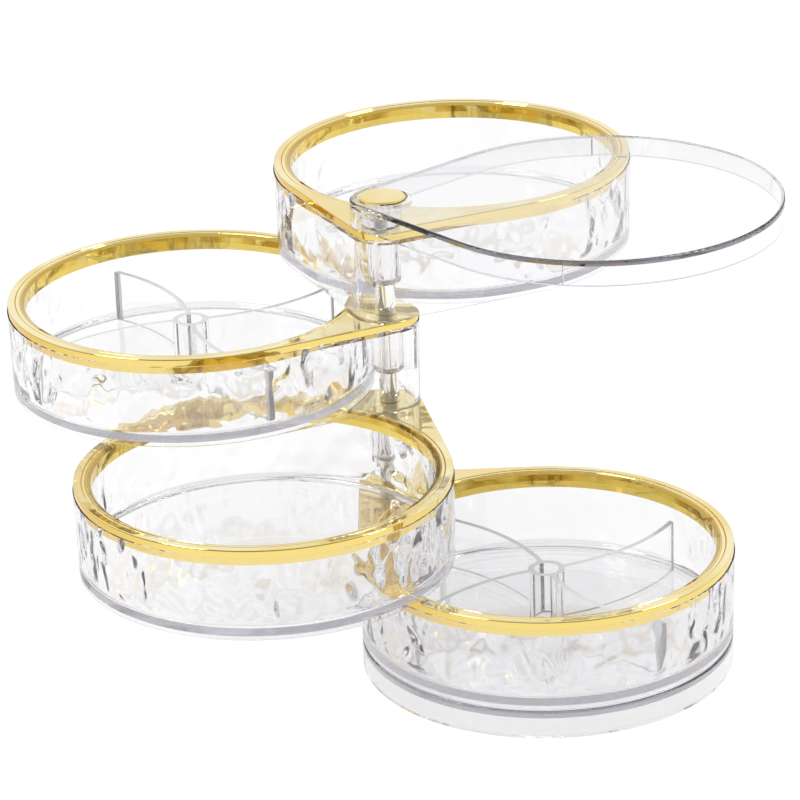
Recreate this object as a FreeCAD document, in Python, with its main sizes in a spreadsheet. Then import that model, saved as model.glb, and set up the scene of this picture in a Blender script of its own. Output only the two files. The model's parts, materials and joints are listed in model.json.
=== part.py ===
"""Rotating jewelry organizer: four clear swing-out trays, a clear lid and a base on one steel shaft.

Each tray is a teardrop: a round cup of radius round_radius whose wall runs on in two
straight tangents to a small round tip. The shaft stands in the tips, so the trays fan out.
"""
import FreeCAD
import Part
import Sketcher
import math
import os

Vector = FreeCAD.Vector

# Sizes, in millimetres and degrees

SIZES = [
    ("round_radius", 62.8, "outer radius of the round part of a tray, at its top"),
    ("tip_radius", 11.3, "outer radius of the tip round the shaft, at its top"),
    ("ear_reach", 9.2, "from the shaft's axis to the outside of the cup"),
    ("tray_height", 31.7, "one tier, from its foot to the top of its trim"),
    ("tier_gap", 0.3, "running gap between one tier and the next"),
    ("wall", 2.6, "clear side wall, at its top"),
    ("wall_draft", 0.5, "how far the foot of a tray's outside stands in from its top"),
    ("floor_plate", 2.3, "cup floor"),
    ("foot_depth", 1.2, "ring left standing under the cup floor"),
    ("floor_corner", 1.6, "rounding where the cup floor meets the wall"),
    ("foot_edge", 0.6, "rounding of the lowest outer edge of a tray"),
    ("deck_plate", 2.0, "deck over the hollow ear"),
    ("boss_radius", 5.3, "boss that hangs from the deck round the shaft"),
    ("boss_depth", 20.9, "from the top of the trim to the foot of the boss"),
    ("boss_edge", 1.2, "rounding of the boss's lower edge"),
    ("rib_plate", 1.5, "rib that ties the boss to the walls"),
    ("trim_inset", 0.3, "clear ledge left outside the trim"),
    ("trim_face", 2.6, "outer face of the plated trim"),
    ("trim_edge", 0.45, "rounding of the trim's upper outer edge"),
    ("trim_width", 5.8, "from the trim's outer edge to its opening"),
    ("trim_skirt", 5.7, "from the top of the trim to the end of its skirt"),
    ("skirt_step_depth", 3.1, "from the top of the trim to the step in its skirt"),
    ("skirt_step", 0.5, "width of the step in the skirt"),
    ("trim_fit", 0.2, "gap between the skirt and the cup wall"),
    ("land_width", 2.5, "flat land along the trim's outer edge"),
    ("groove_width", 0.4, "groove on each side of the trim's bead"),
    ("groove_depth", 0.4, "depth of those grooves"),
    ("bead_width", 1.0, "bead between the grooves"),
    ("bead_edge", 0.4, "rounding of the bead's two edges"),
    ("lip_step", 0.2, "how far the inner lip starts below the bead"),
    ("lip_drop", 0.8, "how far it ends below the bead, at the opening"),
    ("web_plate", 1.2, "plated web over the ear"),
    ("web_rim", 1.4, "wall round the hollow under the web"),
    ("shaft_radius", 2.25, "steel shaft"),
    ("bore_clearance", 0.08, "radial running clearance on the shaft"),
    ("hole_clearance", 0.35, "radial clearance of the trim's hole round the shaft"),
    ("seat_clearance", 0.04, "radial clearance of pieces fixed on the shaft"),
    ("spacer_radius", 3.5, "steel spacer tubes"),
    ("axial_play", 0.15, "gap at each end of a spacer and under the lid's boss"),
    ("base_height", 9.5, "plinth, from the table to its plate's top"),
    ("base_inset", 0.5, "how far the plinth's side stands in from the trays' rims"),
    ("base_plate", 3.1, "plinth's plate"),
    ("base_wall", 2.4, "plinth's skirt"),
    ("base_edge", 0.8, "rounding of the plinth's upper edge"),
    ("base_boss_radius", 7.0, "boss under the plate that takes the screw"),
    ("base_boss_lift", 0.6, "how far that boss stays above the table"),
    ("screw_seat", 3.4, "depth of the screw's counterbore"),
    ("screw_shank", 1.5, "radius of the screw and of the cap's stud"),
    ("screw_length", 7.0, "length of the screw below its head"),
    ("screw_head", 2.8, "radius of the screw's head"),
    ("head_height", 1.7, "height of the screw's head"),
    ("head_key", 2.5, "hexagon socket in the screw's head, across its flats"),
    ("key_depth", 1.0, "depth of that socket"),
    ("tap_clearance", 0.05, "radial clearance of a thread in the shaft's end"),
    ("tap_depth", 9.0, "depth of the tapped hole in each end of the shaft"),
    ("washer_radius", 4.1, "plain washer under the screw's head"),
    ("washer_plate", 0.6, "thickness of that washer"),
    ("washer_clearance", 0.3, "gap round the washer in its counterbore"),
    ("lid_height", 8.7, "lid, from its rim to its top"),
    ("lid_inset", 0.3, "how far the lid's side stands in from the trays' rims"),
    ("lid_plate", 2.1, "lid's flat plate"),
    ("lid_wall", 2.0, "lid's skirt, on the shaft's side of its two seams"),
    ("lid_relief", 0.7, "how much thinner the skirt is beyond the seams"),
    ("seam_front", 99.5, "degrees round the cup from the outward direction to the right-hand seam"),
    ("seam_back", 92.5, "degrees the other way round to the left-hand seam"),
    ("seam_width", 0.5, "width of a seam's notch in the skirt"),
    ("seam_depth", 0.35, "depth of that notch"),
    ("lid_edge", 0.7, "rounding of the lid's upper edge"),
    ("lid_boss_radius", 6.4, "boss under the lid round the shaft"),
    ("cap_radius", 7.9, "round plated cap over the shaft"),
    ("cap_gap", 0.7, "gap round the cap in its recess"),
    ("cap_recess", 1.9, "depth of the cap's recess in the lid"),
    ("recess_floor", 1.7, "thickness of the lid under the recess"),
    ("cap_plate", 1.6, "height of the cap's side"),
    ("cap_dome", 0.5, "rise of the cap's domed top"),
    ("spring_radius", 6.0, "dished spring washer under the cap"),
    ("spring_plate", 0.35, "thickness of the spring washer"),
    ("spring_rise", 0.45, "dish of the spring washer"),
    ("stud_length", 6.0, "cap's stud below the shaft's end"),
    ("hub_radius", 6.2, "tube in the middle of a divider"),
    ("hub_bore", 4.2, "radius of that tube's bore"),
    ("vane_plate", 1.8, "thickness of a divider's vane"),
    ("vane_height", 18.0, "height of a divider"),
    ("vane_gap", 0.4, "gap between the vanes' ends and the trim's opening"),
    ("vane_bend", 70.0, "radius of a vane's curve, seen from above"),
    ("divider_play", 0.1, "gap between a divider and the cup floor"),
]

# Directions in which the pieces point, in degrees from +X, as the organizer stands fanned out

LID_TURN = -4.0
TRAY_TURNS = {1: 70.0, 2: 160.0, 3: 234.5, 4: -45.0}
DIVIDER_TURNS = {2: -40.0, 4: -7.0}
VANES = 4

doc = FreeCAD.newDocument("organizer")
sheet = doc.addObject("Spreadsheet::Sheet", "sizes")
for row, (alias, value, meaning) in enumerate(SIZES, start=1):
    sheet.set(f"A{row}", alias)
    sheet.set(f"B{row}", str(value))
    sheet.set(f"C{row}", meaning)
    sheet.setAlias(f"B{row}", alias)
doc.recompute()


def size(text):
    """The number that an expression on the sheet's sizes gives now."""
    return float(sheet.evalExpression(text))


# Radii in plan and heights above the table, as expressions on the sheet

PITCH = "(sizes.tray_height + sizes.tier_gap)"
REACH = "(sizes.round_radius + sizes.ear_reach)"
CUP_RADIUS = "(sizes.round_radius - sizes.wall)"
TRIM_RADIUS = "(sizes.round_radius - sizes.trim_inset)"
OPENING = f"({TRIM_RADIUS} - sizes.trim_width)"
LID_RADIUS = "(sizes.round_radius - sizes.lid_inset)"
VANE_END = f"({OPENING} - sizes.vane_gap)"
FLOOR_TOP = "(sizes.foot_depth + sizes.floor_plate)"
BODY_TOP = "(sizes.tray_height - sizes.trim_face)"
BOSS_FOOT = "(sizes.tray_height - sizes.boss_depth)"
LID_REST = "(sizes.base_height + sizes.tier_gap + 4 * " + PITCH + ")"


def tray_rest(tier):
    """Height of a tray's foot. Tier 4 stands on the plinth and tier 1 is the highest."""
    return f"(sizes.base_height + sizes.tier_gap + {4 - tier} * {PITCH})"


def shaft_place():
    """The shaft's axis in plan, which puts the middle of the fanned-out outline at the origin."""
    turns = [LID_TURN] + list(TRAY_TURNS.values())
    across = [size(REACH) * math.cos(math.radians(turn)) for turn in turns]
    along = [size(REACH) * math.sin(math.radians(turn)) for turn in turns]
    return Vector(-(min(across) + max(across)) / 2, -(min(along) + max(along)) / 2, 0)


SHAFT = shaft_place()


def on_shaft(height):
    """Placement of a piece that stands round the shaft."""
    return FreeCAD.Placement(SHAFT + Vector(0, 0, size(height)), FreeCAD.Rotation())


def fanned(turn, height, own_turn=0.0):
    """Placement of a piece made round its cup's centre, swung out in the direction turn."""
    swing = FreeCAD.Rotation(Vector(0, 0, 1), turn)
    centre = SHAFT + swing.multVec(Vector(size(REACH), 0, 0)) + Vector(0, 0, size(height))
    return FreeCAD.Placement(centre, FreeCAD.Rotation(Vector(0, 0, 1), turn + own_turn))


# Sketch and feature helpers

# In a sketch, item -1 is the level axis, whose first point is the origin, and item -2 the upright one.


def new_body(label):
    body = doc.addObject("PartDesign::Body", label)
    body.Label = label
    return body


def sketch_on(body, name, role, height=None):
    """A sketch on one of the body's own origin planes, raised by the expression height."""
    support = [item for item in body.Origin.OriginFeatures if item.Role == role][0]
    sketch = body.newObject("Sketcher::SketchObject", f"{body.Label}_{name}")
    sketch.AttachmentSupport = [(support, "")]
    sketch.MapMode = "FlatFace"
    if height:
        sketch.setExpression("AttachmentOffset.Base.z", height)
    return sketch


def drive(sketch, constraint, text):
    """Binds one constraint of a sketch to an expression on the sheet."""
    index = sketch.addConstraint(constraint)
    sketch.setExpression(f"Constraints[{index}]", text)


def pin_point(sketch, item, end, across, up):
    """Holds a sketch point at two expressions; '0' puts it on the axis."""
    if across == "0":
        sketch.addConstraint(Sketcher.Constraint("PointOnObject", item, end, -2))
    else:
        drive(sketch, Sketcher.Constraint("DistanceX", -1, 1, item, end, size(across)), across)
    if up == "0":
        sketch.addConstraint(Sketcher.Constraint("PointOnObject", item, end, -1))
    else:
        drive(sketch, Sketcher.Constraint("DistanceY", -1, 1, item, end, size(up)), up)


def draw_circle(sketch, radius, across="0"):
    centre = Vector(size(across), 0, 0)
    item = sketch.addGeometry(Part.Circle(centre, Vector(0, 0, 1), size(radius)))
    pin_point(sketch, item, 3, across, "0")
    drive(sketch, Sketcher.Constraint("Radius", item, size(radius)), radius)
    return item


def draw_outline(sketch, points):
    """A closed polygon whose corners are pairs of expressions."""
    corners = [Vector(size(across), size(up), 0) for across, up in points]
    count = len(corners)
    sides = [Part.LineSegment(corners[i], corners[(i + 1) % count]) for i in range(count)]
    lines = [sketch.addGeometry(side) for side in sides]
    for i in range(count):
        sketch.addConstraint(Sketcher.Constraint("Coincident", lines[i], 2, lines[(i + 1) % count], 1))
    for line, (across, up) in zip(lines, points):
        pin_point(sketch, line, 1, across, up)


def draw_teardrop(sketch, inset):
    """The cup's circle and the tip's circle joined by their two outer tangents, drawn in by inset."""
    round_radius = size(f"sizes.round_radius - {inset}")
    tip_radius = size(f"sizes.tip_radius - {inset}")
    reach = size(REACH)
    lean = math.acos((round_radius - tip_radius) / reach)
    tip = Vector(-reach, 0, 0)

    def rim(centre, radius, angle):
        return centre + Vector(radius * math.cos(angle), radius * math.sin(angle), 0)

    upper, lower = math.pi - lean, math.pi + lean
    cup_circle = Part.Circle(Vector(0, 0, 0), Vector(0, 0, 1), round_radius)
    tip_circle = Part.Circle(tip, Vector(0, 0, 1), tip_radius)
    cup_arc = sketch.addGeometry(Part.ArcOfCircle(cup_circle, -upper, upper))
    tip_arc = sketch.addGeometry(Part.ArcOfCircle(tip_circle, upper, lower))
    corners = [rim(Vector(), round_radius, upper), rim(tip, tip_radius, upper)]
    left = sketch.addGeometry(Part.LineSegment(corners[0], corners[1]))
    corners = [rim(tip, tip_radius, lower), rim(Vector(), round_radius, lower)]
    right = sketch.addGeometry(Part.LineSegment(corners[0], corners[1]))
    sketch.addConstraint(Sketcher.Constraint("Tangent", cup_arc, 2, left, 1))
    sketch.addConstraint(Sketcher.Constraint("Tangent", left, 2, tip_arc, 1))
    sketch.addConstraint(Sketcher.Constraint("Tangent", tip_arc, 2, right, 1))
    sketch.addConstraint(Sketcher.Constraint("Tangent", right, 2, cup_arc, 1))
    pin_point(sketch, cup_arc, 3, "0", "0")
    pin_point(sketch, tip_arc, 3, f"-{REACH}", "0")
    drive(sketch, Sketcher.Constraint("Radius", cup_arc, round_radius), f"sizes.round_radius - {inset}")
    drive(sketch, Sketcher.Constraint("Radius", tip_arc, tip_radius), f"sizes.tip_radius - {inset}")


def draw_ear(sketch, inset, cup_radius):
    """The space between the cup's outside and the teardrop drawn in by inset.

    Two tangents and the tip's arc close on a circle of cup_radius round the cup.
    """
    round_radius = size(f"sizes.round_radius - {inset}")
    tip_radius = size(f"sizes.tip_radius - {inset}")
    outer = size(cup_radius)
    reach = size(REACH)
    lean = math.acos((round_radius - tip_radius) / reach)
    spread = lean - math.acos(round_radius / outer)
    tip = Vector(-reach, 0, 0)

    def rim(centre, radius, angle):
        return centre + Vector(radius * math.cos(angle), radius * math.sin(angle), 0)

    tip_circle = Part.Circle(tip, Vector(0, 0, 1), tip_radius)
    cup_circle = Part.Circle(Vector(), Vector(0, 0, 1), outer)
    guide = sketch.addGeometry(Part.Circle(Vector(), Vector(0, 0, 1), round_radius), True)
    corners = [rim(Vector(), outer, math.pi - spread), rim(tip, tip_radius, math.pi - lean)]
    left = sketch.addGeometry(Part.LineSegment(corners[0], corners[1]))
    tip_arc = sketch.addGeometry(Part.ArcOfCircle(tip_circle, math.pi - lean, math.pi + lean))
    corners = [rim(tip, tip_radius, math.pi + lean), rim(Vector(), outer, math.pi + spread)]
    right = sketch.addGeometry(Part.LineSegment(corners[0], corners[1]))
    cup_arc = sketch.addGeometry(Part.ArcOfCircle(cup_circle, math.pi - spread, math.pi + spread))
    pin_point(sketch, guide, 3, "0", "0")
    pin_point(sketch, tip_arc, 3, f"-{REACH}", "0")
    pin_point(sketch, cup_arc, 3, "0", "0")
    sketch.addConstraint(Sketcher.Constraint("Tangent", left, 2, tip_arc, 1))
    sketch.addConstraint(Sketcher.Constraint("Tangent", tip_arc, 2, right, 1))
    sketch.addConstraint(Sketcher.Constraint("Tangent", left, guide))
    sketch.addConstraint(Sketcher.Constraint("Tangent", right, guide))
    sketch.addConstraint(Sketcher.Constraint("Coincident", left, 1, cup_arc, 1))
    sketch.addConstraint(Sketcher.Constraint("Coincident", right, 2, cup_arc, 2))
    drive(sketch, Sketcher.Constraint("Radius", guide, round_radius), f"sizes.round_radius - {inset}")
    drive(sketch, Sketcher.Constraint("Radius", tip_arc, tip_radius), f"sizes.tip_radius - {inset}")
    drive(sketch, Sketcher.Constraint("Radius", cup_arc, outer), cup_radius)


def pad(body, sketch, length):
    feature = body.newObject("PartDesign::Pad", sketch.Name + "_pad")
    feature.Profile = sketch
    feature.setExpression("Length", length)
    sketch.Visibility = False
    doc.recompute()
    return feature


def tapered_pad(body, sketch, length, spread):
    """A pad whose outline grows by spread from the sketch to its far end."""
    feature = pad(body, sketch, length)
    feature.setExpression("TaperAngle", f"atan({spread} / ({length}))")
    doc.recompute()
    return feature


def pocket(body, sketch, length):
    """Cuts upwards from the sketch, into the piece that stands over it."""
    before = body.Shape.Volume
    feature = body.newObject("PartDesign::Pocket", sketch.Name + "_pocket")
    feature.Profile = sketch
    feature.Reversed = True
    feature.setExpression("Length", length)
    sketch.Visibility = False
    doc.recompute()
    check_cut(body, feature, before)
    return feature


def check_cut(body, feature, before):
    """A cut that points away from the piece removes nothing, and that is a fault."""
    if body.Shape.Volume > before - 0.01:
        raise RuntimeError(f"{feature.Name} removes nothing")


def turned(body, sketch, kind):
    """Revolution or Groove of a profile round the vertical axis of its sketch."""
    before = body.Shape.Volume if kind == "Groove" else 0.0
    feature = body.newObject(f"PartDesign::{kind}", f"{sketch.Name}_{kind.lower()}")
    feature.Profile = sketch
    feature.ReferenceAxis = (sketch, ["V_Axis"])
    feature.Angle = 360.0
    sketch.Visibility = False
    doc.recompute()
    if kind == "Groove":
        check_cut(body, feature, before)
    return feature


def rounded(body, name, radius, wanted):
    """Fillets the edges of the body's last feature that wanted(edge) picks."""
    base = body.Tip
    picks = [f"Edge{i}" for i, edge in enumerate(base.Shape.Edges, start=1) if wanted(edge)]
    if not picks:
        raise RuntimeError(f"{body.Label} {name}: no edge to round")
    fillet = body.newObject("PartDesign::Fillet", f"{body.Label}_{name}")
    fillet.Base = (base, picks)
    fillet.setExpression("Radius", radius)
    doc.recompute()
    return fillet


def level(edge, height):
    """True if an edge lies flat at a height."""
    box = edge.BoundBox
    return abs(box.ZMin - height) < 1e-4 and abs(box.ZMax - height) < 1e-4


def round_edge(edge, height, radius):
    """True if an edge is an arc of that radius at that height."""
    if not level(edge, height) or not isinstance(edge.Curve, Part.Circle):
        return False
    return abs(edge.Curve.Radius - radius) < 1e-4



# Plinth: plate and skirt in one moulding, with a post on the plate that carries the lowest tray

def make_base():
    body = new_body("base")
    outline = sketch_on(body, "outline", "XY_Plane")
    draw_teardrop(outline, "sizes.base_inset")
    pad(body, outline, "sizes.base_height")
    top = size("sizes.base_height")
    rounded(body, "upper_edge", "sizes.base_edge", lambda edge: level(edge, top))
    hollow = sketch_on(body, "hollow", "XY_Plane")
    draw_teardrop(hollow, "(sizes.base_inset + sizes.base_wall)")
    pocket(body, hollow, "sizes.base_height - sizes.base_plate")
    boss = sketch_on(body, "boss", "XY_Plane", "sizes.base_boss_lift")
    draw_circle(boss, "sizes.base_boss_radius", f"-{REACH}")
    pad(body, boss, "sizes.base_height - sizes.base_plate - sizes.base_boss_lift")
    post = sketch_on(body, "post", "XY_Plane", "sizes.base_height")
    draw_circle(post, "sizes.boss_radius", f"-{REACH}")
    pad(body, post, f"sizes.tier_gap + {BOSS_FOOT} - sizes.axial_play")
    seat = sketch_on(body, "screw_seat", "XY_Plane")
    draw_circle(seat, "sizes.washer_radius + sizes.washer_clearance", f"-{REACH}")
    pocket(body, seat, "sizes.screw_seat")
    bore = sketch_on(body, "bore", "XY_Plane")
    draw_circle(bore, "sizes.shaft_radius + sizes.seat_clearance", f"-{REACH}")
    pocket(body, bore, "sizes.base_height + sizes.tray_height")
    body.Placement = fanned(TRAY_TURNS[4], "0")
    return body


# Trays: a round cup and a hollow ear in one moulding, open at the top and under the ear

def make_tray(tier):
    body = new_body(f"tray_{tier}")
    outline = sketch_on(body, "outline", "XY_Plane")
    draw_teardrop(outline, "sizes.wall_draft")
    tapered_pad(body, outline, BODY_TOP, "sizes.wall_draft")
    rounded(body, "foot_edge", "sizes.foot_edge", lambda edge: level(edge, 0.0))

    cup = sketch_on(body, "cup", "XZ_Plane")
    draw_outline(cup, [
        ("0", FLOOR_TOP),
        (CUP_RADIUS, FLOOR_TOP),
        (CUP_RADIUS, BODY_TOP),
        ("0", BODY_TOP),
    ])
    turned(body, cup, "Groove")
    floor_top = size(FLOOR_TOP)
    cup_radius = size(CUP_RADIUS)
    rounded(body, "floor_corner", "sizes.floor_corner",
            lambda edge: round_edge(edge, floor_top, cup_radius))

    recess = sketch_on(body, "recess", "XY_Plane")
    draw_circle(recess, CUP_RADIUS)
    pocket(body, recess, "sizes.foot_depth")
    ear = sketch_on(body, "ear", "XY_Plane")
    draw_ear(ear, "sizes.wall", "sizes.round_radius")
    pocket(body, ear, f"{BODY_TOP} - sizes.deck_plate")

    boss = sketch_on(body, "boss", "XY_Plane", BOSS_FOOT)
    draw_circle(boss, "sizes.boss_radius", f"-{REACH}")
    pad(body, boss, f"{BODY_TOP} - sizes.deck_plate - {BOSS_FOOT}")
    boss_foot = size(BOSS_FOOT)
    boss_radius = size("sizes.boss_radius")
    rounded(body, "boss_edge", "sizes.boss_edge", lambda edge: round_edge(edge, boss_foot, boss_radius))
    rib = sketch_on(body, "rib", "XY_Plane", f"{BOSS_FOOT} + sizes.boss_edge")
    draw_outline(rib, [
        (f"-{REACH} - sizes.tip_radius + sizes.wall / 2", "-sizes.rib_plate / 2"),
        ("-sizes.round_radius + sizes.wall / 2", "-sizes.rib_plate / 2"),
        ("-sizes.round_radius + sizes.wall / 2", "sizes.rib_plate / 2"),
        (f"-{REACH} - sizes.tip_radius + sizes.wall / 2", "sizes.rib_plate / 2"),
    ])
    pad(body, rib, f"{BODY_TOP} - sizes.deck_plate - {BOSS_FOOT} - sizes.boss_edge")
    bore = sketch_on(body, "bore", "XY_Plane")
    draw_circle(bore, "sizes.shaft_radius + sizes.bore_clearance", f"-{REACH}")
    pocket(body, bore, "sizes.tray_height")
    body.Placement = fanned(TRAY_TURNS[tier], tray_rest(tier))
    return body


# Trims: a plated ring with a web over the ear, whose skirt drops into the cup

def make_trim(tier):
    body = new_body(f"trim_{tier}")
    top = "sizes.tray_height"
    outline = sketch_on(body, "outline", "XY_Plane", BODY_TOP)
    draw_teardrop(outline, "sizes.trim_inset")
    pad(body, outline, "sizes.trim_face")
    top_height = size(top)
    rounded(body, "upper_edge", "sizes.trim_edge", lambda edge: level(edge, top_height))

    land_edge = f"({TRIM_RADIUS} - sizes.land_width)"
    bead_outside = f"({land_edge} - sizes.groove_width)"
    bead_inside = f"({bead_outside} - sizes.bead_width)"
    lip_edge = f"({bead_inside} - sizes.groove_width)"
    groove_low = f"({top} - sizes.groove_depth)"
    opening = sketch_on(body, "opening", "XZ_Plane")
    draw_outline(opening, [
        ("0", BODY_TOP),
        (OPENING, BODY_TOP),
        (OPENING, f"({top} - sizes.lip_drop)"),
        (lip_edge, f"({top} - sizes.lip_step)"),
        (f"({lip_edge} + sizes.groove_width / 2)", groove_low),
        (bead_inside, top),
        ("0", top),
    ])
    turned(body, opening, "Groove")
    groove = sketch_on(body, "groove", "XZ_Plane")
    draw_outline(groove, [
        (bead_outside, top),
        (f"({bead_outside} + sizes.groove_width / 2)", groove_low),
        (land_edge, top),
    ])
    turned(body, groove, "Groove")
    bead_radii = [size(bead_inside), size(bead_outside)]
    rounded(body, "bead_edge", "sizes.bead_edge",
            lambda edge: any(round_edge(edge, top_height, radius) for radius in bead_radii))

    skirt = sketch_on(body, "skirt", "XZ_Plane")
    skirt_out = f"({CUP_RADIUS} - sizes.trim_fit)"
    step = f"({OPENING} + sizes.skirt_step)"
    draw_outline(skirt, [
        (OPENING, BODY_TOP),
        (OPENING, f"({top} - sizes.skirt_step_depth)"),
        (step, f"({top} - sizes.skirt_step_depth)"),
        (step, f"({top} - sizes.trim_skirt)"),
        (skirt_out, f"({top} - sizes.trim_skirt)"),
        (skirt_out, BODY_TOP),
    ])
    turned(body, skirt, "Revolution")

    hollow = sketch_on(body, "web_hollow", "XY_Plane", BODY_TOP)
    draw_ear(hollow, "(sizes.trim_inset + sizes.web_rim)", "sizes.round_radius")
    draw_circle(hollow, "sizes.boss_radius", f"-{REACH}")
    pocket(body, hollow, "sizes.trim_face - sizes.web_plate")
    hole = sketch_on(body, "hole", "XY_Plane", BODY_TOP)
    draw_circle(hole, "sizes.shaft_radius + sizes.hole_clearance", f"-{REACH}")
    pocket(body, hole, "sizes.trim_face")
    body.Placement = fanned(TRAY_TURNS[tier], tray_rest(tier))
    return body


# Dividers: four curved vanes round a tube, one moulding that stands on the cup floor

def make_divider(tier):
    body = new_body(f"divider_{tier}")
    hub = sketch_on(body, "hub", "XY_Plane")
    draw_circle(hub, "sizes.hub_radius")
    pad(body, hub, "sizes.vane_height")
    vane = sketch_on(body, "vane", "XY_Plane")
    draw_vane(vane)
    first = pad(body, vane, "sizes.vane_height")
    ring = body.newObject("PartDesign::PolarPattern", f"divider_{tier}_vanes")
    ring.Originals = [first]
    ring.Axis = (vane, ["N_Axis"])
    ring.Angle = 360.0
    ring.Occurrences = VANES
    body.Tip = ring
    doc.recompute()
    bore = sketch_on(body, "bore", "XY_Plane")
    draw_circle(bore, "sizes.hub_bore")
    pocket(body, bore, "sizes.vane_height")
    height = f"{tray_rest(tier)} + {FLOOR_TOP} + sizes.divider_play"
    body.Placement = fanned(TRAY_TURNS[tier], height, DIVIDER_TURNS[tier])
    return body


def draw_vane(sketch):
    """One vane, which leaves the hub and curves until its end lies on +X of the sketch.

    Its two faces are arcs round a centre beside the hub. Its ends follow circles round the hub.
    """
    across = f"({VANE_END} / 2)"
    up = f"sqrt(sizes.vane_bend ^ 2 - {VANE_END} ^ 2 / 4)"
    centre = Vector(size(across), size(up), 0)
    hub_radii = ["((sizes.hub_bore + sizes.hub_radius) / 2)", VANE_END]
    face_radii = ["(sizes.vane_bend + sizes.vane_plate / 2)", "(sizes.vane_bend - sizes.vane_plate / 2)"]

    def crossing(hub_radius, face_radius):
        """Where a circle round the hub meets a face of the vane."""
        inner, bend, outer = size(hub_radius), centre.Length, size(face_radius)
        lean = math.acos((inner ** 2 + bend ** 2 - outer ** 2) / (2 * inner * bend))
        angle = math.atan2(centre.y, centre.x) - lean
        return Vector(inner * math.cos(angle), inner * math.sin(angle), 0)

    def arc(middle, radius, first, last):
        circle = Part.Circle(middle, Vector(0, 0, 1), radius)
        low = math.atan2(first.y - middle.y, first.x - middle.x)
        high = math.atan2(last.y - middle.y, last.x - middle.x)
        return sketch.addGeometry(Part.ArcOfCircle(circle, low, high))

    faces = [arc(centre, size(face), crossing(hub_radii[0], face), crossing(hub_radii[1], face))
             for face in face_radii]
    ends = [arc(Vector(), size(hub), crossing(hub, face_radii[0]), crossing(hub, face_radii[1]))
            for hub in hub_radii]
    for face, text in zip(faces, face_radii):
        drive(sketch, Sketcher.Constraint("Radius", face, size(text)), text)
        pin_point(sketch, face, 3, across, up)
    for end, text in zip(ends, hub_radii):
        drive(sketch, Sketcher.Constraint("Radius", end, size(text)), text)
        pin_point(sketch, end, 3, "0", "0")
    for face_number, face in enumerate(faces, start=1):
        for end_number, end in enumerate(ends, start=1):
            sketch.addConstraint(Sketcher.Constraint("Coincident", face, end_number, end, face_number))


# Lid: a clear plate with a skirt, a boss round the shaft and a recess for the cap
# Two seams cross the skirt, and beyond them, away from the shaft, it is a little thinner.

def draw_sector(sketch, radius, clockwise, counter):
    """A disc of that radius, cut off by the straight line between two points of its rim.

    The points lie at the angles clockwise and counter, in degrees, on either side of +X.
    """
    reach = size(radius)
    first, last = math.radians(-size(clockwise)), math.radians(size(counter))
    circle = Part.Circle(Vector(), Vector(0, 0, 1), reach)
    arc = sketch.addGeometry(Part.ArcOfCircle(circle, first, last))
    ends = [Vector(reach * math.cos(angle), reach * math.sin(angle), 0) for angle in (last, first)]
    chord = sketch.addGeometry(Part.LineSegment(ends[0], ends[1]))
    pin_point(sketch, arc, 3, "0", "0")
    drive(sketch, Sketcher.Constraint("Radius", arc, reach), radius)
    for end, angle in ((1, clockwise), (2, counter)):
        text = f"{radius} * cos({angle})"
        drive(sketch, Sketcher.Constraint("DistanceX", -1, 1, arc, end, size(text)), text)
    sketch.addConstraint(Sketcher.Constraint("Coincident", arc, 2, chord, 1))
    sketch.addConstraint(Sketcher.Constraint("Coincident", chord, 2, arc, 1))


def draw_notch(sketch, radius, angle):
    """A triangle that bites seam_depth into a rim of that radius, at an angle from +X."""
    inner = f"({radius} - sizes.seam_depth)"
    outer = f"({radius} + sizes.seam_depth)"
    draw_outline(sketch, [
        (f"{inner} * cos({angle})", f"{inner} * sin({angle})"),
        (f"({outer} * cos({angle}) + sizes.seam_width * sin({angle}))",
         f"({outer} * sin({angle}) - sizes.seam_width * cos({angle}))"),
        (f"({outer} * cos({angle}) - sizes.seam_width * sin({angle}))",
         f"({outer} * sin({angle}) + sizes.seam_width * cos({angle}))"),
    ])


def make_lid():
    body = new_body("lid")
    outline = sketch_on(body, "outline", "XY_Plane")
    draw_teardrop(outline, "sizes.lid_inset")
    pad(body, outline, "sizes.lid_height")
    top = size("sizes.lid_height")
    rounded(body, "upper_edge", "sizes.lid_edge", lambda edge: level(edge, top))
    hollow = sketch_on(body, "hollow", "XY_Plane")
    draw_teardrop(hollow, "(sizes.lid_inset + sizes.lid_wall)")
    pocket(body, hollow, "sizes.lid_height - sizes.lid_plate")
    relief = sketch_on(body, "relief", "XY_Plane")
    relief_radius = f"({LID_RADIUS} - sizes.lid_wall + sizes.lid_relief)"
    draw_sector(relief, relief_radius, "sizes.seam_front", "sizes.seam_back")
    pocket(body, relief, "sizes.lid_height - sizes.lid_plate")
    seams = sketch_on(body, "seams", "XY_Plane")
    draw_notch(seams, LID_RADIUS, "(-sizes.seam_front)")
    draw_notch(seams, LID_RADIUS, "sizes.seam_back")
    pocket(body, seams, "sizes.lid_height")
    tip_floor = "(sizes.lid_height - sizes.cap_recess - sizes.recess_floor)"
    block = sketch_on(body, "tip_block", "XY_Plane", tip_floor)
    draw_circle(block, "sizes.tip_radius - sizes.lid_inset - sizes.lid_wall / 2", f"-{REACH}")
    pad(body, block, "sizes.cap_recess + sizes.recess_floor - sizes.lid_plate / 2")
    boss = sketch_on(body, "boss", "XY_Plane", "sizes.axial_play")
    draw_circle(boss, "sizes.lid_boss_radius", f"-{REACH}")
    pad(body, boss, f"{tip_floor} - sizes.axial_play")
    recess = sketch_on(body, "recess", "XY_Plane", "sizes.lid_height - sizes.cap_recess")
    draw_circle(recess, "sizes.cap_radius + sizes.cap_gap", f"-{REACH}")
    pocket(body, recess, "sizes.cap_recess")
    bore = sketch_on(body, "bore", "XY_Plane")
    draw_circle(bore, "sizes.shaft_radius + sizes.bore_clearance", f"-{REACH}")
    pocket(body, bore, "sizes.lid_height")
    body.Placement = fanned(LID_TURN, LID_REST)
    return body


# Steel pieces on the shaft's axis, each turned

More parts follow.
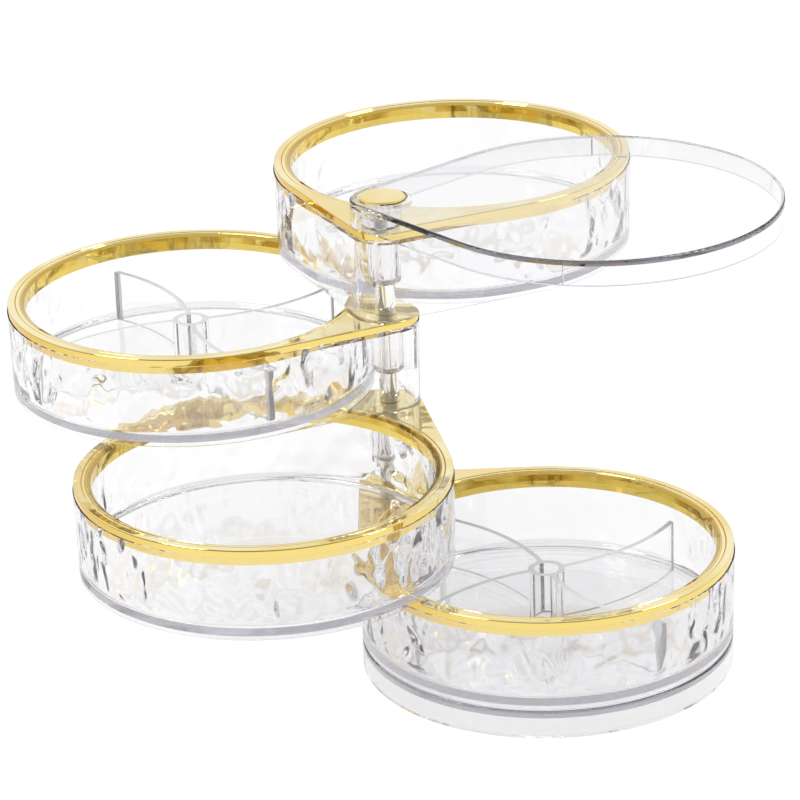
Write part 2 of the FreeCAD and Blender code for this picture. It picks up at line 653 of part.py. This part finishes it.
SEAT_TOP = "sizes.screw_seat"
SHAFT_FOOT = f"({SEAT_TOP} + sizes.axial_play)"
RECESS_LEVEL = f"({LID_REST} + sizes.lid_height - sizes.cap_recess)"
SPRING_REST = f"({RECESS_LEVEL} + sizes.axial_play)"
CAP_UNDER = f"({SPRING_REST} + sizes.spring_plate + sizes.spring_rise)"


def make_turned(label, points, height):
    """A turned piece from half its section, with its foot at a height on the shaft's axis."""
    body = new_body(label)
    section = sketch_on(body, "section", "XZ_Plane")
    draw_outline(section, points)
    turned(body, section, "Revolution")
    body.Placement = on_shaft(height)
    return body


def make_shaft():
    length = f"({CAP_UNDER} - {SHAFT_FOOT})"
    tap = "(sizes.screw_shank + sizes.tap_clearance)"
    return make_turned("shaft", [
        (tap, "0"),
        ("sizes.shaft_radius", "0"),
        ("sizes.shaft_radius", length),
        (tap, length),
        (tap, f"({length} - sizes.tap_depth)"),
        ("0", f"({length} - sizes.tap_depth)"),
        ("0", "sizes.tap_depth"),
        (tap, "sizes.tap_depth"),
    ], SHAFT_FOOT)


def make_spacer(tier):
    """A tube between the trim of one tray and the boss of the tray above it, which is tier."""
    bore = "(sizes.shaft_radius + sizes.seat_clearance)"
    length = f"({BOSS_FOOT} + sizes.tier_gap - 2 * sizes.axial_play)"
    return make_turned(f"spacer_{tier}", [
        (bore, "0"),
        ("sizes.spacer_radius", "0"),
        ("sizes.spacer_radius", length),
        (bore, length),
    ], f"{tray_rest(tier)} - sizes.tier_gap + sizes.axial_play")


def make_washer():
    bore = "(sizes.screw_shank + sizes.tap_clearance)"
    return make_turned("bottom_washer", [
        (bore, "0"),
        ("sizes.washer_radius", "0"),
        ("sizes.washer_radius", "sizes.washer_plate"),
        (bore, "sizes.washer_plate"),
    ], f"{SEAT_TOP} - sizes.washer_plate")


def make_spring_washer():
    """A dished ring: its inner edge stands higher than its outer edge by spring_rise."""
    bore = "(sizes.shaft_radius + sizes.hole_clearance)"
    return make_turned("spring_washer", [
        (bore, "sizes.spring_rise"),
        ("sizes.spring_radius", "0"),
        ("sizes.spring_radius", "sizes.spring_plate"),
        (bore, "sizes.spring_rise + sizes.spring_plate"),
    ], SPRING_REST)


def make_cap():
    """The plated cap: a shallow dome with a rounded edge and a stud that screws into the shaft."""
    body = new_body("cap")
    section = sketch_on(body, "section", "XZ_Plane")
    draw_outline(section, [
        ("0", "-sizes.stud_length"),
        ("sizes.screw_shank", "-sizes.stud_length"),
        ("sizes.screw_shank", "0"),
        ("sizes.cap_radius", "0"),
        ("sizes.cap_radius", "sizes.cap_plate - sizes.cap_dome"),
        ("(sizes.cap_radius - sizes.cap_dome)", "sizes.cap_plate"),
        ("(sizes.cap_radius / 2)", "(sizes.cap_plate + sizes.cap_dome * 0.7)"),
        ("0", "(sizes.cap_plate + sizes.cap_dome)"),
    ])
    turned(body, section, "Revolution")
    body.Placement = on_shaft(CAP_UNDER)
    return body


def make_screw():
    """Screw from below: head under the washer, shank up into the shaft's tapped foot."""
    body = new_body("bottom_screw")
    section = sketch_on(body, "section", "XZ_Plane")
    shank_top = "(sizes.head_height + sizes.washer_plate + sizes.screw_length)"
    draw_outline(section, [
        ("0", "0"),
        ("sizes.screw_head * 0.7", "0"),
        ("sizes.screw_head", "sizes.head_height * 0.35"),
        ("sizes.screw_head", "sizes.head_height"),
        ("sizes.screw_shank", "sizes.head_height"),
        ("sizes.screw_shank", shank_top),
        ("0", shank_top),
    ])
    turned(body, section, "Revolution")
    socket = sketch_on(body, "socket", "XY_Plane")
    reach = "(sizes.head_key / sqrt(3))"
    draw_outline(socket, [
        (reach, "0"),
        (f"({reach} / 2)", "sizes.head_key / 2"),
        (f"(-{reach} / 2)", "sizes.head_key / 2"),
        (f"-{reach}", "0"),
        (f"(-{reach} / 2)", "-sizes.head_key / 2"),
        (f"({reach} / 2)", "-sizes.head_key / 2"),
    ])
    pocket(body, socket, "sizes.key_depth")
    body.Placement = on_shaft(f"{SEAT_TOP} - sizes.washer_plate - sizes.head_height")
    return body


pieces = [make_base(), make_screw(), make_washer(), make_shaft(), make_spring_washer(), make_cap()]
pieces += [make_spacer(tier) for tier in (1, 2, 3)]
for tier in (1, 2, 3, 4):
    pieces += [make_tray(tier), make_trim(tier)]
pieces += [make_divider(tier) for tier in DIVIDER_TURNS]
pieces.append(make_lid())
doc.recompute()

for item in doc.Objects:
    if "Invalid" in item.State or "Error" in item.State:
        raise RuntimeError(f"{item.Label} failed: {item.State}")
for piece in pieces:
    if piece.Shape.isNull() or not piece.Shape.isValid() or len(piece.Shape.Solids) != 1:
        raise RuntimeError(f"{piece.Label} has no good shape")

os.makedirs("parts", exist_ok=True)
for piece in pieces:
    piece.Shape.exportStep(os.path.join("parts", piece.Label + ".step"))
    print(f"{piece.Label}: {piece.Shape.Volume:.1f} mm3")
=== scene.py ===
import bpy
import json
import math
import numpy as np
from mathutils import Matrix, Vector


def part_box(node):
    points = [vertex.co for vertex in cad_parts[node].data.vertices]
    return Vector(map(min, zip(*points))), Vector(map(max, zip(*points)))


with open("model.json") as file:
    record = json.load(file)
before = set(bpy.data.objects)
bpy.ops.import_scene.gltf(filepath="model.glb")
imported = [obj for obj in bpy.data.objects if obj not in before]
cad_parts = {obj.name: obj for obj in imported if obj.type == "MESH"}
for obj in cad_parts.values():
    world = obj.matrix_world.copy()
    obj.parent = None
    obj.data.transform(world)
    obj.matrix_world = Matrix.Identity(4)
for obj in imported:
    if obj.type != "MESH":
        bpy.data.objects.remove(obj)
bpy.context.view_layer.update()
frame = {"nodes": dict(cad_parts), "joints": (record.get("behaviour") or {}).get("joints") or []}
nodes = frame["nodes"]
joints = {joint["name"]: joint for joint in frame["joints"]}
scene = bpy.context.scene

# The viewpoint: a long lens, a step away and a little above, rolled slightly to one side.
# Its place is measured from the shaft's foot, which the joints give.

SHAFT = Vector((*joints["lid_swing"]["pos_m"][:2], 0.0))
VIEW_FROM = SHAFT + Vector((0.00378, -1.25905, 0.59636))
VIEW_DOWN = math.radians(22.58)
VIEW_ROLL = math.radians(-1.86)
FOCAL_MM = 179.44
SENSOR_MM = 36.0
NEAREST_SEEN = 0.05

lens = bpy.data.cameras.new("viewpoint")
lens.lens = FOCAL_MM
lens.sensor_width = SENSOR_MM
lens.clip_start = NEAREST_SEEN
viewpoint = bpy.data.objects.new("viewpoint", lens)
scene.collection.objects.link(viewpoint)
sideways = Vector((1, 0, 0))
ahead = Vector((0, math.cos(VIEW_DOWN), -math.sin(VIEW_DOWN)))
overhead = sideways.cross(ahead)
across = sideways * math.cos(VIEW_ROLL) + overhead * math.sin(VIEW_ROLL)
upright = overhead * math.cos(VIEW_ROLL) - sideways * math.sin(VIEW_ROLL)
facing = Matrix((across, upright, -ahead)).transposed().to_4x4()
viewpoint.matrix_world = Matrix.Translation(VIEW_FROM) @ facing
scene.camera = viewpoint
scene.view_settings.view_transform = "Standard"

# Clear plastic passes light from wall to wall many times, so rays may bounce often.
LIGHT_BOUNCES = 64
INNER_MIRRORINGS = 48
SEE_THROUGH_LAYERS = 32

scene.cycles.max_bounces = LIGHT_BOUNCES
scene.cycles.transmission_bounces = LIGHT_BOUNCES
scene.cycles.glossy_bounces = INNER_MIRRORINGS
scene.cycles.transparent_max_bounces = SEE_THROUGH_LAYERS

# The table and the studio: a pale top that shows white, a bright backdrop and ceiling, a dimmer
# side behind the viewpoint, and two soft lamps. None of it is part of the organizer.

# How much of the table glows white as seen from the viewpoint, and in or through the pieces.
# The rest of it is matt and takes their shadow.
WHITE_SHARE = 0.86
SEEN_SHARE = 0.67
WHITE_GLOW = 1.04
MATT_WHITE = (0.9, 0.9, 0.9, 1)
# Where the pieces show it, the table darkens outwards from an oval behind the organizer.
OVAL_SHIFT = (0.0, -0.45, 0.0)
OVAL_STRETCH = (1.5, 1.0, 0.0)
OVAL_EDGE = (0.72, 1.3)
OVAL_GLOW = (1.14, 0.35)
TABLE_HALF = 4
TABLE_HEIGHT = -0.0005
# The room's brightness, from the dim side behind the viewpoint to the backdrop and the ceiling.
CEILING_SHARE = 0.6
ROOM_EDGE = (-0.3, 0.75)
ROOM_GLOW = (0.28, 0.97)
LAMPS_FACE = (0, 0, 0.07)


class Wire:
    """A socket of a node tree.

    Arithmetic on it adds Math nodes, and add() brings in any other node.
    """

    def __init__(self, tree, socket):
        self.tree = tree
        self.socket = socket

    def add(self, kind, settings, inputs, output=0):
        """A new node: its settings first, then a number, colour or wire for each input."""
        node = self.tree.nodes.new(kind)
        for name, value in settings.items():
            setattr(node, name, value)
        for name, value in inputs.items():
            if isinstance(value, Wire):
                self.tree.links.new(value.socket, node.inputs[name])
            else:
                node.inputs[name].default_value = value
        return Wire(self.tree, node.outputs[output])

    def maths(self, operation, *values):
        return self.add("ShaderNodeMath", {"operation": operation}, dict(enumerate(values)))

    def ramp(self, edge, ends=(0.0, 1.0)):
        """Goes smoothly from one of the ends to the other while this value crosses the edge."""
        return self.add("ShaderNodeMapRange", {"interpolation_type": "SMOOTHSTEP"},
                        {"Value": self, "From Min": edge[0], "From Max": edge[1],
                         "To Min": ends[0], "To Max": ends[1]})

    def blend(self, first, second):
        """The first colour where this value is 0, and the second where it is 1."""
        mix = {0: self, 6: first, 7: second}
        return self.add("ShaderNodeMix", {"data_type": "RGBA"}, mix, 2)

    def most(self, other):
        """The larger of this value and another."""
        return self.maths("MAXIMUM", self, other)

    def part(self, axis):
        """One of the three numbers of a vector."""
        return self.add("ShaderNodeSeparateXYZ", {}, {0: self}, axis)

    def into(self, socket):
        self.tree.links.new(self.socket, socket)

    def __add__(self, other):
        return self.maths("ADD", self, other)

    def __radd__(self, other):
        return self.maths("ADD", other, self)

    def __sub__(self, other):
        return self.maths("SUBTRACT", self, other)

    def __rsub__(self, other):
        return self.maths("SUBTRACT", other, self)

    def __mul__(self, other):
        return self.maths("MULTIPLY", self, other)

    def __rmul__(self, other):
        return self.maths("MULTIPLY", other, self)

    def __gt__(self, other):
        return self.maths("GREATER_THAN", self, other)

    def __lt__(self, other):
        return self.maths("LESS_THAN", self, other)


table = bpy.data.materials.new("table")
table.use_nodes = True
tree = table.node_tree
tree.nodes.remove(tree.nodes["Principled BSDF"])
rays = tree.nodes.new("ShaderNodeLightPath").outputs
straight, mirrored, through = (Wire(tree, rays[f"Is {kind} Ray"])
                               for kind in ("Camera", "Glossy", "Transmission"))
seen = straight.most(mirrored).most(through)
matt = seen.add("ShaderNodeBsdfDiffuse", {}, {"Color": MATT_WHITE})
spot = Wire(tree, tree.nodes.new("ShaderNodeTexCoord").outputs["Object"])
oval = spot.add("ShaderNodeMapping", {}, {"Vector": spot, "Location": OVAL_SHIFT})
oval = spot.add("ShaderNodeVectorMath", {"operation": "MULTIPLY"}, {0: oval, 1: OVAL_STRETCH})
far = spot.add("ShaderNodeVectorMath", {"operation": "LENGTH"}, {0: oval}, "Value")
glow = (straight * WHITE_GLOW).most(far.ramp(OVAL_EDGE, OVAL_GLOW))
share = (straight * WHITE_SHARE).most(seen * SEEN_SHARE)
white = seen.add("ShaderNodeEmission", {}, {"Color": glow})
surface = seen.add("ShaderNodeMixShader", {}, {0: share, 1: matt, 2: white})
surface.into(tree.nodes["Material Output"].inputs["Surface"])
top_mesh = bpy.data.meshes.new("table_top")
corners = np.array([(-1, -1), (1, -1), (1, 1), (-1, 1)]) * TABLE_HALF
corners = np.column_stack([corners, np.full(4, TABLE_HEIGHT)])
top_mesh.from_pydata(corners.tolist(), [], [(0, 1, 2, 3)])
table_top = bpy.data.objects.new("table_top", top_mesh)
scene.collection.objects.link(table_top)
top_mesh.materials.append(table)

studio = bpy.data.worlds.new("studio")
studio.use_nodes = True
scene.world = studio
tree = studio.node_tree
towards = Wire(tree, tree.nodes.new("ShaderNodeTexCoord").outputs["Generated"])
lit = (towards.part("Y") + towards.part("Z") * CEILING_SHARE).ramp(ROOM_EDGE, ROOM_GLOW)
lit.into(tree.nodes["Background"].inputs["Color"])


def soft_lamp(name, place, width, power):
    """A round area lamp that faces the middle of the organizer."""
    light = bpy.data.lights.new(name, "AREA")
    light.shape = "DISK"
    light.size = width
    light.energy = power
    lamp = bpy.data.objects.new(name, light)
    scene.collection.objects.link(lamp)
    lamp.location = place
    lamp.rotation_euler = (Vector(LAMPS_FACE) - Vector(place)).to_track_quat("-Z", "Y").to_euler()


soft_lamp("lamp_left", place=(-0.9, -0.6, 1.1), width=0.6, power=8)
soft_lamp("lamp_right", place=(1.1, -0.3, 0.9), width=0.5, power=5)

# The plinth: one clear moulding, a plate with a skirt round it, open below.
# Long ways through the plastic tint the light a little, and its narrow rounded edges carry a
# painted grey shade.

CLEAR = (0.995, 0.995, 1.0, 1)
TINT_IN_DEPTH = (0.06, 0.03, 0.12, 1)
PLINTH_DENSITY = 6.0
# Painted grey shade for the plinth's narrow edges.
PLINTH_EDGE_SHADE = (0.70, 0.70, 0.73, 1)
POLISH = 0.015
REFRACTION = 1.5
# How far a face leans, from 0 for an upright wall to 1 for a flat.
EDGE_LEAN = (0.15, 0.92)


def plain_finish(name, **constants):
    """A material with one Principled shader, whose plain sockets are set.

    Gives the material, the shader and the wire of the object's own coordinates.
    """
    material = bpy.data.materials.new(name)
    material.use_nodes = True
    tree = material.node_tree
    shader = tree.nodes["Principled BSDF"]
    for socket, value in constants.items():
        shader.inputs[socket.replace("_", " ")].default_value = value
    return material, shader, Wire(tree, tree.nodes.new("ShaderNodeTexCoord").outputs["Object"])


def clear_plastic(name, density):
    """Polished clear plastic with a faint cool tint along its depth."""
    material, shader, place = plain_finish(name, Base_Color=CLEAR, Roughness=POLISH,
                                           IOR=REFRACTION, Transmission_Weight=1.0)
    depth = place.add("ShaderNodeVolumeAbsorption", {},
                      {"Color": TINT_IN_DEPTH, "Density": density})
    depth.into(material.node_tree.nodes["Material Output"].inputs["Volume"])
    return material, shader, place


def paint_edge_shade(shader, place, tint, wall=CLEAR, foot=0.0):
    """Paints a grey shade on the narrow rounded edges, where clear plastic looks dark.

    All that lies below the foot's height gets the painted shade too, and upright walls may have
    their own painted tint.
    """
    rise = place.add("ShaderNodeNewGeometry", {}, {}, "Normal").part("Z")
    lean = rise.maths("ABSOLUTE", rise)
    edge = (lean > EDGE_LEAN[0]) * (lean < EDGE_LEAN[1])
    edge = edge.most(place.part("Z") < foot)
    edge.blend((lean < EDGE_LEAN[0]).blend(CLEAR, wall), tint).into(shader.inputs["Base Color"])


def dress(names, material):
    """Gives CAD nodes one material."""
    for name in names:
        nodes[name].data.materials.clear()
        nodes[name].data.materials.append(material)


plinth_clear, shader, place = clear_plastic("clear_plain", PLINTH_DENSITY)
paint_edge_shade(shader, place, PLINTH_EDGE_SHADE)
dress(["base"], plinth_clear)

# The shaft with its screw, washers and spacer tubes: bright turned steel, held to the plinth by
# the screw from below. Fine rings from the turning run round each of them.

STEEL = (0.95, 0.94, 0.91, 1)
RING_SCALE = (60, 60, 9000)
STEEL_ROUGHNESS = 0.04
RING_ROUGHNESS = 0.06

steel, shader, place = plain_finish("turned_steel", Base_Color=STEEL, Metallic=1.0)
rings = place.add("ShaderNodeMapping", {}, {"Vector": place, "Scale": RING_SCALE})
grain = place.add("ShaderNodeTexNoise", {}, {"Vector": rings, "Scale": 1.0, "Detail": 2.0})
(grain * RING_ROUGHNESS + STEEL_ROUGHNESS).into(shader.inputs["Roughness"])
dress(["bottom_screw", "bottom_washer", "shaft", "spring_washer"], steel)
dress(["spacer_1", "spacer_2", "spacer_3"], steel)

# The trays: clear teardrop mouldings whose cups are rippled inside like water glass.
# The outside is smooth, and the inside of the tip round the shaft is a little wavy.

TIERS = (1, 2, 3, 4)
TRAY_DENSITY = 6.0
# Painted grey shade for the trays' narrow edges.
TRAY_EDGE_SHADE = (0.80, 0.80, 0.82, 1)
ROUND_RADIUS = 0.0628
CUP_BORE = 0.0608
CUP_FLOOR = 0.0052
FLOOR_FADE = 0.003
TIP_INSIDE = (0.0062, 0.0098)
SEAT_DEPTH = 0.00005
# The ripples are a little taller than wide. Each pattern swings about its mean, so that the
# relief has no step where it fades out.
RIPPLE_STRETCH = (1, 1, 0.7)
RIPPLE_DEPTH = 0.0016
WAVE_SCALE = 95.0
WAVE_MEAN = 0.5
WAVE_HEIGHT = 1.45
DENT_SCALE = 125.0
DENT_MEAN = 0.35
DENT_HEIGHT = 0.75
SWELL_SCALE = 75.0
SWELL_MEAN = 0.5
SWELL_HEIGHT = 0.6


def cup_centre(tier):
    """Middle of a tray's cup.

    It lies one radius in from the sides of the tray's box that are away from the shaft.
    """
    low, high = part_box(f"tray_{tier}")
    middle = (low + high) / 2
    x = high.x - ROUND_RADIUS if middle.x > SHAFT.x else low.x + ROUND_RADIUS
    y = high.y - ROUND_RADIUS if middle.y > SHAFT.y else low.y + ROUND_RADIUS
    return Vector((x, y, 0.0))


def plan_distance(place, centre):
    """How far a point lies from an upright line through the centre."""
    flat = place.add("ShaderNodeVectorMath", {"operation": "MULTIPLY"}, {0: place, 1: (1, 1, 0)})
    ends = {0: flat, 1: centre}
    return place.add("ShaderNodeVectorMath", {"operation": "DISTANCE"}, ends, "Value")


def rippled_plastic(tier):
    """Clear plastic whose relief works only on the inside of this tray's cup and of its tip.

    In the cup it is soft noise plus round dents, faded out near the floor, and in the tip a swell.
    """
    low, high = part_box(f"tray_{tier}")
    material, shader, place = clear_plastic(f"clear_rippled_{tier}", TRAY_DENSITY)
    paint_edge_shade(shader, place, TRAY_EDGE_SHADE)
    cup = plan_distance(place, cup_centre(tier)) < CUP_BORE
    floor = low.z + CUP_FLOOR
    cup = cup * place.part("Z").ramp((floor, floor + FLOOR_FADE))
    tall = place.add("ShaderNodeMapping", {}, {"Vector": place, "Scale": RIPPLE_STRETCH})
    waves = place.add("ShaderNodeTexNoise", {},
                      {"Vector": tall, "Scale": WAVE_SCALE, "Detail": 1.0, "Roughness": 0.35,
                       "Distortion": 0.7})
    dents = place.add("ShaderNodeTexVoronoi", {"feature": "SMOOTH_F1"},
                      {"Vector": tall, "Scale": DENT_SCALE, "Smoothness": 0.35})
    swell = place.add("ShaderNodeTexNoise", {},
                      {"Vector": place, "Scale": SWELL_SCALE, "Detail": 0.0})
    to_shaft = plan_distance(place, SHAFT)
    tip = (to_shaft > TIP_INSIDE[0]) * (to_shaft < TIP_INSIDE[1])
    ripples = (waves - WAVE_MEAN) * WAVE_HEIGHT + (dents - DENT_MEAN) * DENT_HEIGHT
    height = ripples * cup + (swell - SWELL_MEAN) * tip * SWELL_HEIGHT
    relief = place.add("ShaderNodeBump", {},
                       {"Height": height, "Distance": RIPPLE_DEPTH, "Strength": 1.0})
    relief.into(shader.inputs["Normal"])
    # The top lies tight against the trim, with no air between, so light passes it unbent.
    (place.part("Z") < high.z - SEAT_DEPTH).into(shader.inputs["Alpha"])
    return material


for tier in TIERS:
    dress([f"tray_{tier}"], rippled_plastic(tier))

# The trims: moulded plastic, plated bright gold, pressed into the cups from above.
# The plating's colour holds painted light: paler clouds of painted reflection on the flats,
# painted shade on faces turned left, and painted shade, reflection and glints on the skirt inside
# the opening.

LEMON_GOLD = (0.87, 0.68, 0.22, 1)
LEFT_SHADE_GOLD = (0.76, 0.50, 0.11, 1)
FLAT_GOLD = (0.90, 0.73, 0.33, 1)
PAINTED_HIGHLIGHT_GOLD = (0.96, 0.86, 0.53, 1)
SKIRT_REFLECTION_GOLD = (0.86, 0.61, 0.12, 1)
SKIRT_SHADE_BROWN = (0.50, 0.29, 0.03, 1)
LOWER_SKIRT_REFLECTION_GOLD = (0.90, 0.68, 0.17, 1)
LIP_SHADE_GOLD = (0.58, 0.40, 0.09, 1)
UNDERSIDE = (0.86, 0.85, 0.88, 1)
PLATING_ROUGHNESS = 0.05
WAVER_SCALE = 130.0
WAVER_DEPTH = 0.0003
WAVER_STRENGTH = 0.45
SHEEN_CLOUD_SCALE = 28.0
SHEEN_CLOUD_EDGE = (0.36, 0.64)
# Directions that a face looks in: to the left, where it gets painted shade, up, where it gets
# painted reflection, and down.
LEFT_EDGE = (-0.35, -0.95)
UP_EDGE = (0.6, 0.95)
DOWN = -0.9
# On the skirt, brown and deep gold patches of painted shade and reflection lie with lemon flecks
# of painted glint, and below its step is a tan painted reflection.
SHADE_PATCH_SCALE = 55.0
SHADE_PATCH_EDGE = (0.36, 0.58)
GLINT_SCALE = 170.0
GLINT_EDGE = (0.56, 0.66)
SKIRT_STEP = 0.0031
OPENING_INSIDE = 0.0576
LIP_RADIUS = 0.0581
LIP_TOP = 0.00025
LIP_DEPTH = 0.0009


def plated(name, flat_highlight):
    """Bright plating on plastic, whose slight waves blur what it mirrors.

    Its upward flats are painted paler, as painted reflection in soft clouds, and faces turned left
    get a painted shade. The colour is given back, to be worked on.
    """
    material, shader, place = plain_finish(name, Metallic=1.0, Roughness=PLATING_ROUGHNESS)
    waver = place.add("ShaderNodeTexNoise", {},
                      {"Vector": place, "Scale": WAVER_SCALE, "Detail": 1.0})
    relief = place.add("ShaderNodeBump", {}, {"Height": waver, "Distance": WAVER_DEPTH,
                                              "Strength": WAVER_STRENGTH})
    relief.into(shader.inputs["Normal"])
    normal = place.add("ShaderNodeNewGeometry", {}, {}, "Normal")
    # Painted shade: faces turned to the left are painted a deeper amber.
    sides = normal.part("X").ramp(LEFT_EDGE).blend(LEMON_GOLD, LEFT_SHADE_GOLD)
    # Painted reflection: the upward flats are painted paler in clouds.
    clouds = place.add("ShaderNodeTexNoise", {}, {"Vector": place, "Scale": SHEEN_CLOUD_SCALE,
                                                  "Detail": 1.0, "Distortion": 0.6})
    flats = clouds.ramp(SHEEN_CLOUD_EDGE).blend(FLAT_GOLD, flat_highlight)
    colour = normal.part("Z").ramp(UP_EDGE).blend(sides, flats)
    colour = (normal.part("Z") < DOWN).blend(colour, UNDERSIDE)
    return material, shader, place, colour


def plated_trim(tier):
    """Plating of one trim, with painted shade on its inner lip and painted shade, reflection and
    glints on the skirt inside the opening.
    """
    low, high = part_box(f"trim_{tier}")
    material, shader, place, colour = plated(f"plated_trim_{tier}", PAINTED_HIGHLIGHT_GOLD)
    from_centre = plan_distance(place, cup_centre(tier))
    depth = high.z - place.part("Z")
    shade_patches = place.add("ShaderNodeTexNoise", {},
                        {"Vector": place, "Scale": SHADE_PATCH_SCALE, "Detail": 2.0})
    glints = place.add("ShaderNodeTexNoise", {},
                       {"Vector": place, "Scale": GLINT_SCALE, "Detail": 1.0})
    # Painted shade and reflection on the skirt, with lemon flecks of painted glint and a tan
    # painted reflection below the step.
    upper_reflection = shade_patches.ramp(SHADE_PATCH_EDGE).blend(SKIRT_SHADE_BROWN, SKIRT_REFLECTION_GOLD)
    upper_reflection = glints.ramp(GLINT_EDGE).blend(upper_reflection, LEMON_GOLD)
    skirt = (depth > SKIRT_STEP).blend(upper_reflection, LOWER_SKIRT_REFLECTION_GOLD)
    # Painted shade: the inner lip is painted a darker gold.
    lip = (from_centre < LIP_RADIUS) * (depth > LIP_TOP)
    colour = lip.blend(colour, LIP_SHADE_GOLD)
    colour = ((from_centre < OPENING_INSIDE) * (depth > LIP_DEPTH)).blend(colour, skirt)
    colour.into(shader.inputs["Base Color"])
    return material


for tier in TIERS:
    dress([f"trim_{tier}"], plated_trim(tier))

# The dividers: clear inserts that stand on the floors of two trays.
# They are polished, except for the satin tops and ends of their vanes, and their plastic is paler.

DIVIDED_TIERS = (2, 4)
DIVIDER_DENSITY = 1.5
SATIN_WHITE = (0.93, 0.93, 0.95, 1)
SATIN_ROUGHNESS = 0.45
SATIN_SHARE = 0.6
VANE_TOP = 0.3
VANE_RADIUS = 0.0551

for tier in DIVIDED_TIERS:
    material, shader, place = clear_plastic(f"clear_divider_{tier}", DIVIDER_DENSITY)
    vane_top = place.add("ShaderNodeNewGeometry", {}, {}, "Normal").part("Z") > VANE_TOP
    vane_end = plan_distance(place, cup_centre(tier)) > VANE_RADIUS
    satin = vane_top.most(vane_end) * SATIN_SHARE
    polished = Wire(material.node_tree, shader.outputs["BSDF"])
    matt = place.add("ShaderNodeBsdfPrincipled", {},
                     {"Base Color": SATIN_WHITE, "Roughness": SATIN_ROUGHNESS})
    edged = place.add("ShaderNodeMixShader", {}, {0: satin, 1: polished, 2: matt})
    edged.into(material.node_tree.nodes["Material Output"].inputs["Surface"])
    dress([f"divider_{tier}"], material)

# The lid: one clear moulding with a boss that turns on the shaft, smooth all over.
# Its plastic is a little darker than the trays', and its edges and foot, and faintly its upright
# walls, carry a painted grey shade.

LID_DENSITY = 10.0
# Painted grey shade for the lid's edges and foot, and a fainter painted shade for its upright
# walls.
LID_EDGE_SHADE = (0.60, 0.60, 0.64, 1)
LID_WALL_SHADE = (0.965, 0.965, 0.98, 1)
LID_FOOT = 0.0002

lid_clear, shader, place = clear_plastic("clear_lid", LID_DENSITY)
paint_edge_shade(shader, place, LID_EDGE_SHADE, LID_WALL_SHADE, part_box("lid")[0].z + LID_FOOT)
dress(["lid"], lid_clear)

# The cap: plated like the trims, screwed into the top of the shaft over the spring washer.
# The painted reflection on its flats is nearly of one tone, and its faces turned left get the same
# painted shade as the trims'.

CAP_HIGHLIGHT_GOLD = (0.95, 0.80, 0.42, 1)

cap_plating, shader, place, colour = plated("plated_cap", CAP_HIGHLIGHT_GOLD)
colour.into(shader.inputs["Base Color"])
dress(["cap"], cap_plating)
